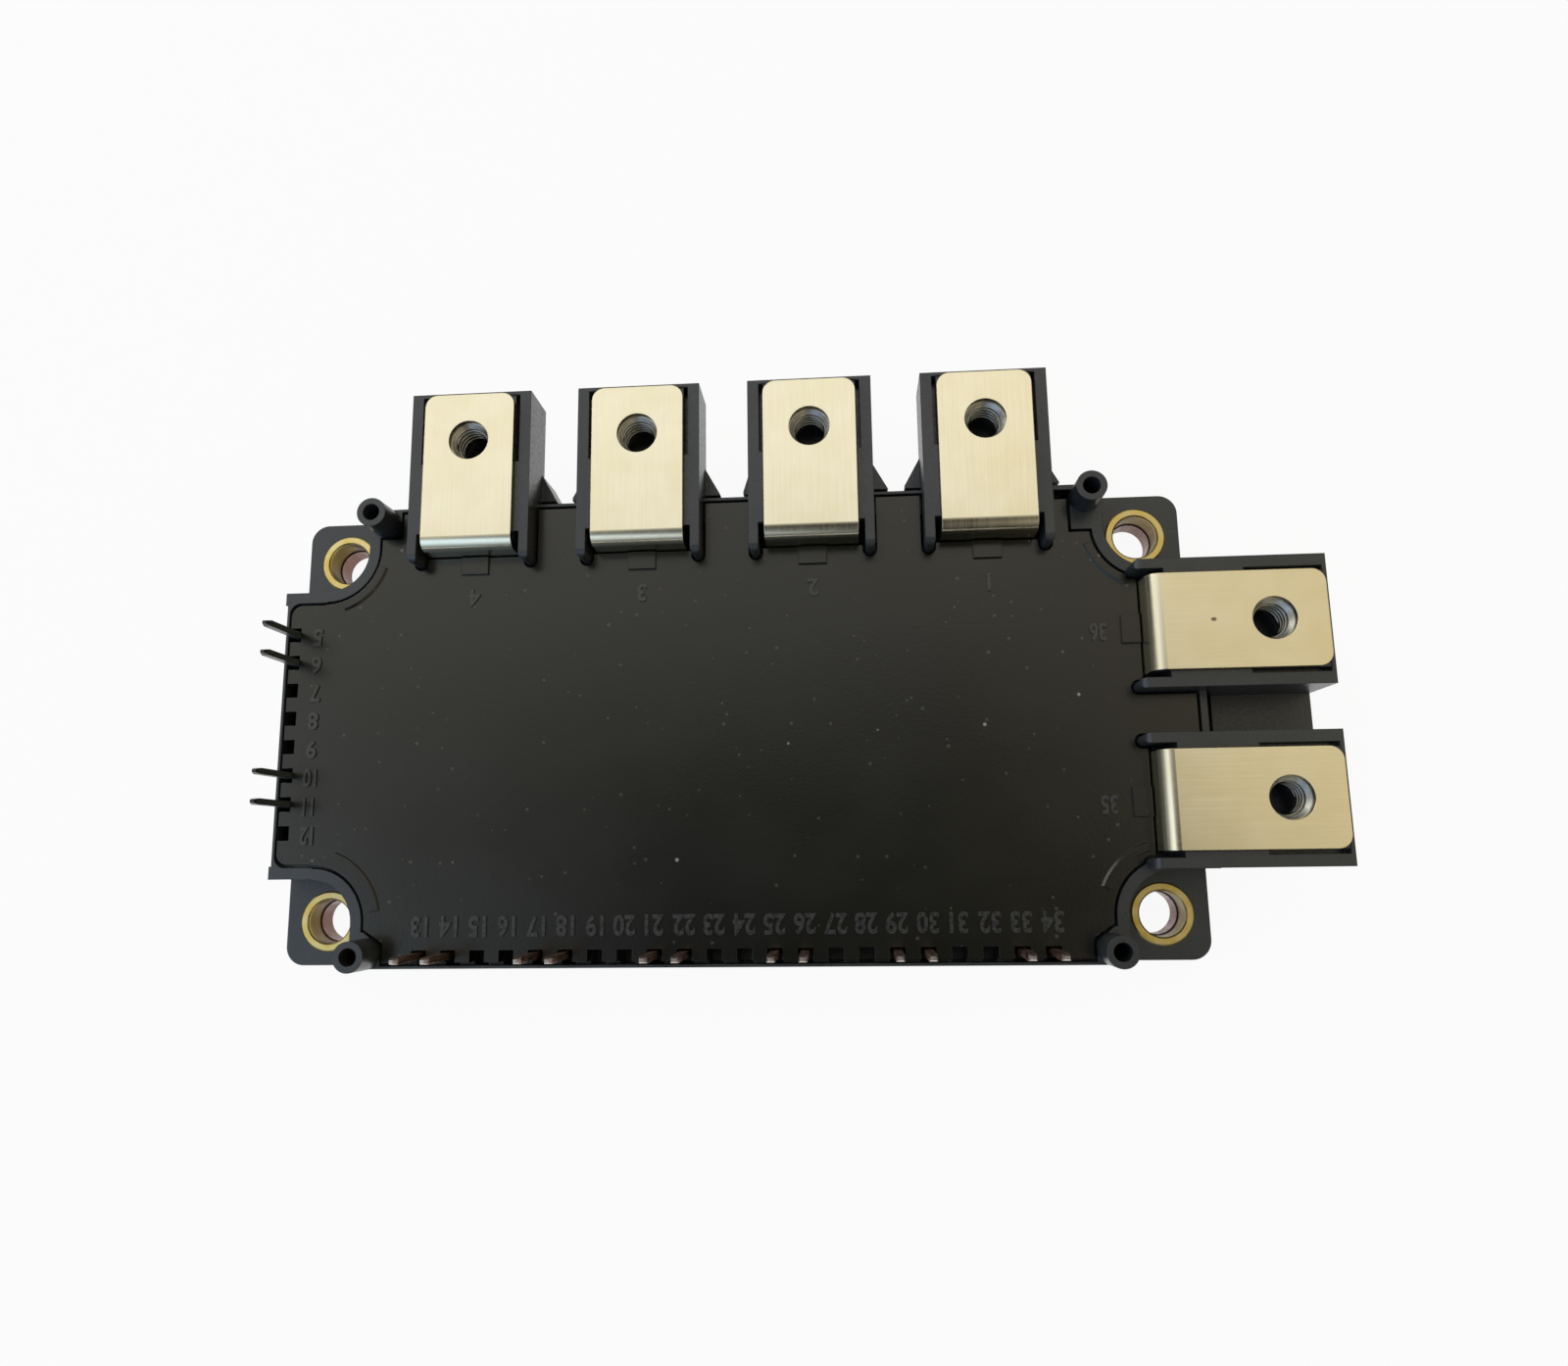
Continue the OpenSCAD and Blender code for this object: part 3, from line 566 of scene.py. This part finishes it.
def thread_in(nut_name):
    """Makes the thread of one nut."""
    low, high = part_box(nut_name)
    axis = Vector(((low.x + high.x) / 2, (low.y + high.y) / 2, 0))
    start = low.z + FIRST_TURN_UP
    turns = (high.z - low.z - ROOM_AT_ENDS) / THREAD_PITCH
    steps = round(turns * STEPS_A_TURN)
    mesh = bmesh.new()
    section = [
        mesh.verts.new((axis.x + BORE_RADIUS, axis.y, start - RIDGE_HALF_WIDTH)),
        mesh.verts.new((axis.x + BORE_RADIUS - RIDGE_HEIGHT, axis.y, start)),
        mesh.verts.new((axis.x + BORE_RADIUS, axis.y, start + RIDGE_HALF_WIDTH)),
    ]
    ring = [mesh.edges.new((section[i], section[(i + 1) % 3])) for i in range(3)]
    bmesh.ops.spin(mesh, geom=section + ring, cent=axis, axis=(0, 0, 1),
                   dvec=(0, 0, THREAD_PITCH / STEPS_A_TURN),
                   angle=2 * math.pi * steps / STEPS_A_TURN, steps=steps)
    bmesh.ops.holes_fill(mesh, edges=[e for e in mesh.edges if e.is_boundary], sides=3)
    keep_piece(nut_name.replace("nut", "thread"), mesh, zinc, smooth=True)


for nut_name in sorted(n for n in NODES if n.startswith("nut_")):
    thread_in(nut_name)

# %% [markdown]
# ## Raised numbers
#
# Plain position numbers stand 0.18 mm proud of the lid: one beside each screw
# terminal and one at each pin position. They count anticlockwise from the first
# terminal, and read the right way up from the terminals' side, so here they stand on
# their heads. Each number is typed as text, made a mesh, scaled to the height of its
# mould engraving and narrowed. Then all the numbers of one side are joined.

# %% Tool for numbers
TAB_HEIGHT = 0.4 * MM
NUMBER_THICKNESS = 0.36 * MM
STROKE_GAIN = 0.03

lid_low, lid_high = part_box("lid")
lid_top = lid_high.z - TAB_HEIGHT


def number_mesh(mesh, value, centre, height, condense):
    """Adds one raised number to a bmesh, narrowed, and turned half round about its centre."""
    curve = bpy.data.curves.new("number", type="FONT")
    curve.body = str(value)
    curve.size = 1.0
    curve.extrude = 0.5
    curve.offset = STROKE_GAIN
    curve.resolution_u = 4
    typed = bpy.data.objects.new("number", curve)
    bpy.context.scene.collection.objects.link(typed)
    drawn = bpy.data.meshes.new_from_object(
        typed.evaluated_get(bpy.context.evaluated_depsgraph_get()))
    bpy.data.objects.remove(typed)
    bpy.data.curves.remove(curve)
    xs = [v.co.x for v in drawn.vertices]
    ys = [v.co.y for v in drawn.vertices]
    middle = Vector(((min(xs) + max(xs)) / 2, (min(ys) + max(ys)) / 2, 0))
    scale = height / (max(ys) - min(ys))
    stretch = Matrix.Diagonal((condense * scale, scale, NUMBER_THICKNESS, 1))
    turn = Matrix.Rotation(math.pi, 4, "Z")
    put = Matrix.Translation(Vector((centre[0], centre[1], lid_top)))
    drawn.transform(put @ turn @ stretch @ Matrix.Translation(-middle))
    mesh.from_mesh(drawn)
    bpy.data.meshes.remove(drawn)


def middle_of(node_name):
    """The middle of a node's box."""
    low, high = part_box(node_name)
    return (low + high) / 2


# %% Numbers of the pins along the lower edge
LOW_ROW = range(13, 35)
LOW_ROW_INSET = 4.45 * MM
LOW_ROW_HEIGHT = 2.65 * MM
LOW_ROW_WIDTH = 0.82

first_x = middle_of("pin_13").x
pitch = (middle_of("pin_34").x - first_x) / (len(LOW_ROW) - 1)
print("pin grid, mm:", round(pitch / MM, 3))
numbers = bmesh.new()
for step, value in enumerate(LOW_ROW):
    number_mesh(numbers, value, (first_x + step * pitch, lid_low.y + LOW_ROW_INSET),
                LOW_ROW_HEIGHT, LOW_ROW_WIDTH)
keep_piece("numbers_low", numbers, number_plastic)

# %% Numbers of the pins along the left edge
LEFT_COLUMN = range(5, 13)
LEFT_COLUMN_INSET = 3.95 * MM
LEFT_COLUMN_DROP = 0.4 * MM
SMALL_HEIGHT = 2.4 * MM
LEFT_DIGIT_WIDTH = 0.90
TWO_DIGITS_WIDTH = 0.70

first_y = middle_of("pin_05").y - LEFT_COLUMN_DROP
numbers = bmesh.new()
for step, value in enumerate(LEFT_COLUMN):
    number_mesh(numbers, value, (lid_low.x + LEFT_COLUMN_INSET, first_y - step * pitch),
                SMALL_HEIGHT, LEFT_DIGIT_WIDTH if value < 10 else TWO_DIGITS_WIDTH)
keep_piece("numbers_left", numbers, number_plastic)

# %% Numbers of the screw terminals
TERMINAL_ROW_GAP = 2.7 * MM
TERMINAL_PAIR_GAP = 2.4 * MM
TERMINAL_PAIR_DROP = 0.3 * MM
TERMINAL_DIGIT_WIDTH = 0.95

numbers = bmesh.new()
for value in range(1, 5):
    terminal = "terminal_%d" % value
    row_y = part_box(terminal)[0].y - TERMINAL_ROW_GAP
    number_mesh(numbers, value, (middle_of(terminal).x, row_y),
                SMALL_HEIGHT, TERMINAL_DIGIT_WIDTH)
for value, terminal in ((35, "terminal_n"), (36, "terminal_p")):
    pair_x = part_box(terminal)[0].x - TERMINAL_PAIR_GAP
    number_mesh(numbers, value, (pair_x, middle_of(terminal).y - TERMINAL_PAIR_DROP),
                SMALL_HEIGHT, TWO_DIGITS_WIDTH)
keep_piece("numbers_terminals", numbers, number_plastic)

# %% [markdown]
# ## Floor
#
# The module lies on a pale sheet. The eye sees the sheet as nearly pure white, while the
# light still draws a faint shadow on it. Light Path does this: for camera rays,
# reflections and rays through the gel, most of the sheet's light comes from a plain
# white emission of strength 1. The lamp stays at a plain level.

# %% Pale sheet
SHEET_HALF_SIZE = 3.0
SHEET_GAP = 0.02 * MM

sheet_mesh = bmesh.new()
bmesh.ops.create_grid(sheet_mesh, x_segments=1, y_segments=1, size=SHEET_HALF_SIZE)
floor_data = bpy.data.meshes.new("floor")
sheet_mesh.to_mesh(floor_data)
sheet_mesh.free()
floor = bpy.data.objects.new("floor", floor_data)
bpy.context.scene.collection.objects.link(floor)
floor.location.z = cad_low.z - SHEET_GAP
print("sheet, m across:", 2 * SHEET_HALF_SIZE)

# %% Paper of the sheet
WHITE_SHARE = 0.93

paper, shader = new_material("pale_paper", Roughness=0.9)
fibres = noise(paper, (4, 4, 4))
link(paper, mottle(paper, fibres, "#f3f3f1", "#f7f7f6"), shader, "Base Color")
path = add_node(paper, "ShaderNodeLightPath")
seen = path.outputs["Is Camera Ray"]
for ray in ("Is Glossy Ray", "Is Transmission Ray"):
    seen = add_node(paper, "ShaderNodeMath", {0: seen, 1: path.outputs[ray]},
                    operation="MAXIMUM").outputs[0]
share = add_node(paper, "ShaderNodeMath", {0: seen, 1: WHITE_SHARE}, operation="MULTIPLY")
white = add_node(paper, "ShaderNodeEmission", {"Color": linear("#ffffff"), "Strength": 1.0})
mixed = add_node(paper, "ShaderNodeMixShader",
                 {0: share.outputs[0], 1: shader.outputs[0], 2: white.outputs[0]})
link(paper, mixed.outputs[0], paper.node_tree.nodes["Material Output"], "Surface")
floor_data.materials.append(paper)
describe(paper)

# %% [markdown]
# ## Light
#
# The light is a soft, even room. Whoever leans over a small part shades the room above
# it, and metal and shiny plastic mirror that shade: the lid is dark in its middle and
# lower half and grows lighter towards the far corners, and a bend in a plated strip
# shows a grey band and then a bright one. A world that depends on the direction gives
# this with no extra lamp.
#
# The shade is a shape with a soft rim. Its brightness follows how far a direction is
# from the middle, counted in units of the shade's half width and half height. The shade
# reaches further to the left than to the right, it grows narrower towards the lower
# side, and it has no lower end.
#
# Three things stand round it. A pale wall on the right is never quite as bright as the
# open room. A bluish window at the lower left gives a cool gleam. Near the horizon the
# room is dim, so upright walls stay dark. All these are gradients along x, y, z or a
# slant between x and y.

# %% Directions in the room
WINDOW_SLANT = 0.5

world = bpy.data.worlds.new("room")
bpy.context.scene.world = world
world.use_nodes = True
place = add_node(world, "ShaderNodeTexCoord")
direction = add_node(world, "ShaderNodeSeparateXYZ", {"Vector": place.outputs["Generated"]})
look_x, look_y, look_z = direction.outputs
slant = add_node(world, "ShaderNodeMath", {0: look_y, 1: WINDOW_SLANT}, operation="MULTIPLY")
slanted = add_node(world, "ShaderNodeMath", {0: look_x, 1: slant.outputs[0]},
                   operation="ADD").outputs[0]

# %% Gradients of the room
SHADE_X = 0.084
SHADE_Y = -0.049
SHADE_LEFT = 0.951
SHADE_RIGHT = 0.444
SHADE_UP = 0.381
SHADE_NARROWING = 0.8
NARROWING_LENGTH = 0.5
UPWARD_UNITS = 3
SMOOTH = "SMOOTHSTEP"
EVEN = "LINEAR"
GRADIENTS = {
    # name: direction, start, end, level at the start, level at the end, curve
    "narrowing": (look_y, SHADE_Y, SHADE_Y - NARROWING_LENGTH, 1, 1 + SHADE_NARROWING, EVEN),
    "upwards": (look_y, SHADE_Y, SHADE_Y + UPWARD_UNITS * SHADE_UP, 0, UPWARD_UNITS, EVEN),
    "wall_edge": (look_x, 0.19, 0.30, 0, 0.74, SMOOTH),
    "wall_foot": (look_y, -0.06, 0.04, 0, 1, SMOOTH),
    "right_limit": (look_x, 0.20, 0.30, 1, 0.72, EVEN),
    "window_top": (look_y, 0.12, -0.02, 0, 1, EVEN),
    "window_edge": (slanted, -0.43, -0.50, 0, 1, SMOOTH),
    "horizon": (look_z, 0.0, 0.9, 0.12, 1, SMOOTH),
    "warm_right": (look_x, 0.04, 0.42, 0, 1, EVEN),
    "cool_left": (look_x, 0.05, -0.35, 0, 1, EVEN),
    "cool_foot": (look_y, 0.0, -0.25, 0, 1, EVEN),
}

level = {}
for name, (along, start, end, first, last, curve) in GRADIENTS.items():
    made = add_node(world, "ShaderNodeMapRange",
                    {"Value": along, "From Min": start, "From Max": end,
                     "To Min": first, "To Max": last}, interpolation_type=curve)
    level[name] = made.outputs["Result"]
print("gradients of the room:", len(level))

# %% Shade overhead
SHADE_CORE, SHADE_RIM = 0.09, 1.12
SHADE_DARK, SHADE_BRIGHT = 0.02, 0.97

aside = add_node(world, "ShaderNodeMath", {0: look_x, 1: SHADE_X}, operation="SUBTRACT")
to_right = add_node(world, "ShaderNodeMath", {0: aside.outputs[0], 1: SHADE_RIGHT},
                    operation="DIVIDE")
to_left = add_node(world, "ShaderNodeMath", {0: aside.outputs[0], 1: -SHADE_LEFT},
                   operation="DIVIDE")
across = add_node(world, "ShaderNodeMath", {0: to_right.outputs[0], 1: to_left.outputs[0]},
                  operation="MAXIMUM")
across = add_node(world, "ShaderNodeMath", {0: across.outputs[0], 1: level["narrowing"]},
                  operation="MULTIPLY")
both = add_node(world, "ShaderNodeCombineXYZ",
                {"X": across.outputs[0], "Y": level["upwards"]})
distance = add_node(world, "ShaderNodeVectorMath", {0: both.outputs["Vector"]},
                    operation="LENGTH")
shade = add_node(world, "ShaderNodeMapRange",
                 {"Value": distance.outputs["Value"], "From Min": SHADE_CORE,
                  "From Max": SHADE_RIM, "To Min": SHADE_DARK, "To Max": SHADE_BRIGHT},
                 interpolation_type=SMOOTH)

# %% Brightness of the room
WINDOW_STRENGTH = 0.8

wall = add_node(world, "ShaderNodeMath", {0: level["wall_edge"], 1: level["wall_foot"]},
                operation="MULTIPLY")
lower_left = add_node(world, "ShaderNodeMath",
                      {0: level["window_top"], 1: level["window_edge"]},
                      operation="MULTIPLY").outputs[0]
glow = add_node(world, "ShaderNodeMath", {0: lower_left, 1: WINDOW_STRENGTH},
                operation="MULTIPLY")
brightness = shade.outputs["Result"]
for operation, value in (("MAXIMUM", wall.outputs[0]), ("MINIMUM", level["right_limit"]),
                         ("ADD", glow.outputs[0]), ("MULTIPLY", level["horizon"])):
    brightness = add_node(world, "ShaderNodeMath", {0: brightness, 1: value},
                          operation=operation).outputs[0]

# %% Colours of the room
WINDOW_COOLNESS = 0.6

low_cool = add_node(world, "ShaderNodeMath", {0: level["cool_left"], 1: level["cool_foot"]},
                    operation="MULTIPLY")
window_cool = add_node(world, "ShaderNodeMath", {0: lower_left, 1: WINDOW_COOLNESS},
                       operation="MULTIPLY")
coolness = add_node(world, "ShaderNodeMath",
                    {0: low_cool.outputs[0], 1: window_cool.outputs[0]},
                    operation="MAXIMUM").outputs[0]
room_colour = linear("#fffefb")
for share, tint in ((level["warm_right"], "#f8ebcb"), (coolness, "#c4deff")):
    room_colour = add_node(world, "ShaderNodeMix",
                           {FACTOR: share, UNDER: room_colour, OVER: linear(tint)},
                           data_type="RGBA").outputs[MIXED]

# %% [markdown]
# The eye sees a plain pale backdrop past the sheet. Only the surfaces mirror the room.

# %% Backdrop
path = add_node(world, "ShaderNodeLightPath")
backdrop = add_node(world, "ShaderNodeMath",
                    {0: path.outputs["Is Camera Ray"],
                     1: path.outputs["Is Transmission Ray"]},
                    operation="MAXIMUM").outputs[0]
seen_colour = add_node(world, "ShaderNodeMix",
                       {FACTOR: backdrop, UNDER: room_colour, OVER: linear("#fafafa")},
                       data_type="RGBA")
seen_strength = add_node(world, "ShaderNodeMath", {0: brightness, 1: backdrop},
                         operation="MAXIMUM")
room_light = world.node_tree.nodes["Background"]
link(world, seen_colour.outputs[MIXED], room_light, "Color")
link(world, seen_strength.outputs[0], room_light, "Strength")
describe(world)

# %% [markdown]
# A weak window lamp far to the left is the only lamp. It rounds the edges.

# %% Window lamp
WINDOW_PLACE = Vector((-0.50, 0.42, 0.30))
WINDOW_SIZE = (0.40, 0.30)
WINDOW_WATTS = 0.9

window_data = bpy.data.lights.new("window", type="AREA")
window_data.shape = "RECTANGLE"
window_data.size, window_data.size_y = WINDOW_SIZE
window_data.energy = WINDOW_WATTS
window_data.color = linear("#fbfdff")[:3]
window = bpy.data.objects.new("window", window_data)
window.location = WINDOW_PLACE
window.rotation_euler = WINDOW_PLACE.to_track_quat("Z", "Y").to_euler()
bpy.context.scene.collection.objects.link(window)
print("lamp:", WINDOW_WATTS, "W at", [round(v, 2) for v in window.location], "m")

# %% [markdown]
# ## Camera
#
# The view is close and hand-held, from nearly straight above, with a wide lens 13 cm
# over the lid. It leans ten degrees, so the blocks spread outwards and the upper side
# walls stay hidden.

# %% Camera
CAMERA_PLACE = (15.35 * MM, -17.68 * MM, 148.16 * MM)
CAMERA_TURNS = (9.728, 4.254, -0.734)

lens = bpy.data.cameras.new("camera")
lens.sensor_width = 36.0
lens.lens = 24.3
lens.shift_x = 0.0088
lens.shift_y = -0.0030
lens.clip_start = 0.01
camera = bpy.data.objects.new("camera", lens)
camera.location = CAMERA_PLACE
camera.rotation_euler = Euler([math.radians(turn) for turn in CAMERA_TURNS])
bpy.context.scene.collection.objects.link(camera)
bpy.context.scene.camera = camera
bpy.context.scene.view_settings.view_transform = "Standard"
print("camera over the lid, mm:", round((camera.location.z - lid_high.z) / MM, 1))
